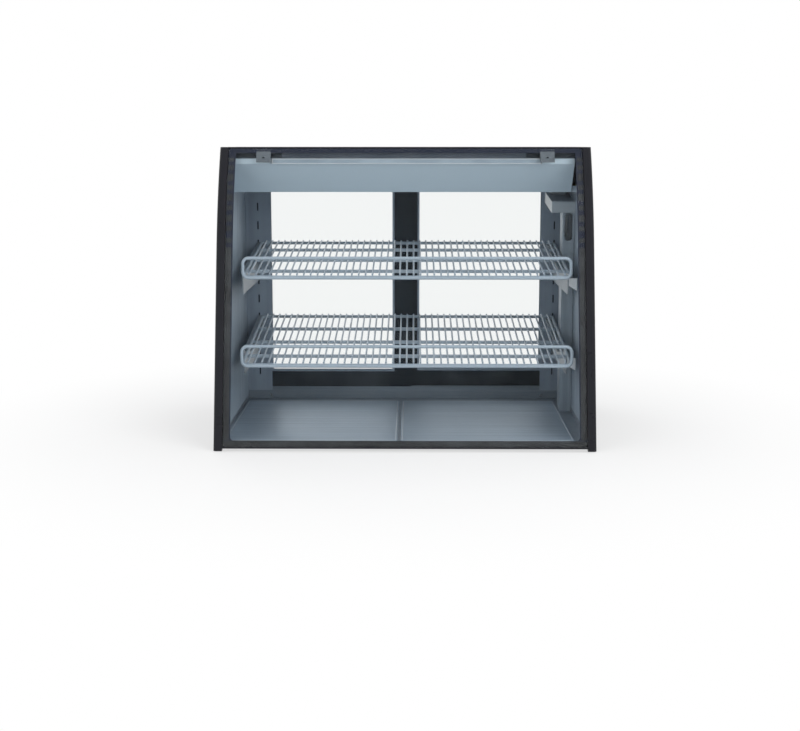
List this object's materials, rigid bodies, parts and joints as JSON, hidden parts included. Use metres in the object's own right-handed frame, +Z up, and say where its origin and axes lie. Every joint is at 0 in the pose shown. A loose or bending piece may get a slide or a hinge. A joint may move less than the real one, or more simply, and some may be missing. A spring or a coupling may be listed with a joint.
{
  "type": "refrigerated bakery display case",
  "caption": "Counter-top refrigerated display case with a bent tilting front glass, wire shelves, deck pans, sliding rear doors and a cooling unit in its canopy.",
  "frame": {"origin": "centre of the case's footprint, on the surface its feet rest on", "axes": "+Z up, +Y towards the rear doors, +X to the right as seen from the customer's side"},
  "size_m": [0.914, 0.64, 0.717],
  "materials": {
    "black_metal": "satin",
    "steel": "brushed",
    "grey_metal": "satin",
    "coated_wire": "satin",
    "aluminium": "satin",
    "clear_glass": "clear",
    "foam": "matt",
    "rubber": "matt",
    "white_plastic": "matt",
    "black_plastic": "satin",
    "copper": "bright",
    "machine_black": "satin"
  },
  "bodies": {
    "case": {"base_pan": "grey_metal", "casing_screws": "aluminium", "ceiling_liner": "steel", "compressor": "machine_black", "compressor_mounts": "rubber", "condenser_coil": "aluminium", "condenser_fan_motor": "machine_black", "drip_tray": "white_plastic", "evaporator_coil": "aluminium", "evaporator_fan_motor": "machine_black", "feet": "rubber", "floor_liner": "steel", "front_rail": "black_metal", "glass_gasket": "rubber", "header_cap": "black_metal", "hinge_rail": "grey_metal", "hinge_rod": "aluminium", "insulation": "foam", "lamp_housing": "aluminium", "lamp_lens": "white_plastic", "led_board": "white_plastic", "left_deck_pan": "steel", "left_front_trim": "black_metal", "left_rear_jamb": "steel", "left_side_liner": "steel", "left_side_panel": "black_metal", "lower_door_track": "black_plastic", "lower_shelf": "coated_wire", "outlet_duct": "grey_metal", "outlet_grille": "white_plastic", "power_inlet": "black_plastic", "rear_cover": "black_metal", "rear_header": "steel", "rear_sill": "steel", "refrigerant_lines": "copper", "return_duct": "steel", "right_deck_pan": "steel", "right_front_trim": "black_metal", "right_rear_jamb": "steel", "right_side_liner": "steel", "right_side_panel": "black_metal", "shelf_brackets": "coated_wire", "switch_housing": "black_plastic", "thermostat": "white_plastic", "top_panel": "black_metal", "upper_door_track": "black_plastic", "upper_shelf": "coated_wire", "valance": "coated_wire"},
    "glass": {"front_glass": "clear_glass", "glass_clamps": "aluminium"},
    "left_door": {"left_door_frame": "black_metal", "left_door_pane": "clear_glass", "left_door_glides": "white_plastic"},
    "right_door": {"right_door_frame": "black_metal", "right_door_pane": "clear_glass", "right_door_glides": "white_plastic"},
    "knob": {"thermostat_knob": "black_plastic"},
    "rocker": {"light_switch": "black_plastic"},
    "condenser_blades": {"condenser_fan": "black_plastic"},
    "evaporator_blades": {"evaporator_fan": "white_plastic"}
  },
  "joints": [
    {"name": "front_glass_tilt", "type": "hinge", "parent": "case", "child": "glass", "pos_m": [0, -0.08294, 0.7074], "axis": [-1, 0, 0], "range_deg": [0, 62]},
    {"name": "left_door_slide", "type": "slide", "parent": "case", "child": "left_door", "axis": [1, 0, 0], "range_m": [0, 0.4]},
    {"name": "right_door_slide", "type": "slide", "parent": "case", "child": "right_door", "axis": [-1, 0, 0], "range_m": [0, 0.4]},
    {"name": "thermostat_turn", "type": "hinge", "parent": "case", "child": "knob", "pos_m": [0.33, 0.30505, 0.678], "axis": [0, -1, 0], "range_deg": [0, 270]},
    {"name": "light_switch_rock", "type": "hinge", "parent": "case", "child": "rocker", "pos_m": [0.27, 0.30305, 0.678], "axis": [-1, 0, 0], "range_deg": [0, 16]},
    {"name": "condenser_fan_spin", "type": "hinge", "parent": "case", "child": "condenser_blades", "pos_m": [-0.08, 0.21155, 0.662], "axis": [0, 1, 0], "continuous": true},
    {"name": "evaporator_fan_spin", "type": "hinge", "parent": "case", "child": "evaporator_blades", "pos_m": [0.368, 0.13155, 0.662], "axis": [-1, 0, 0], "continuous": true}
  ]
}
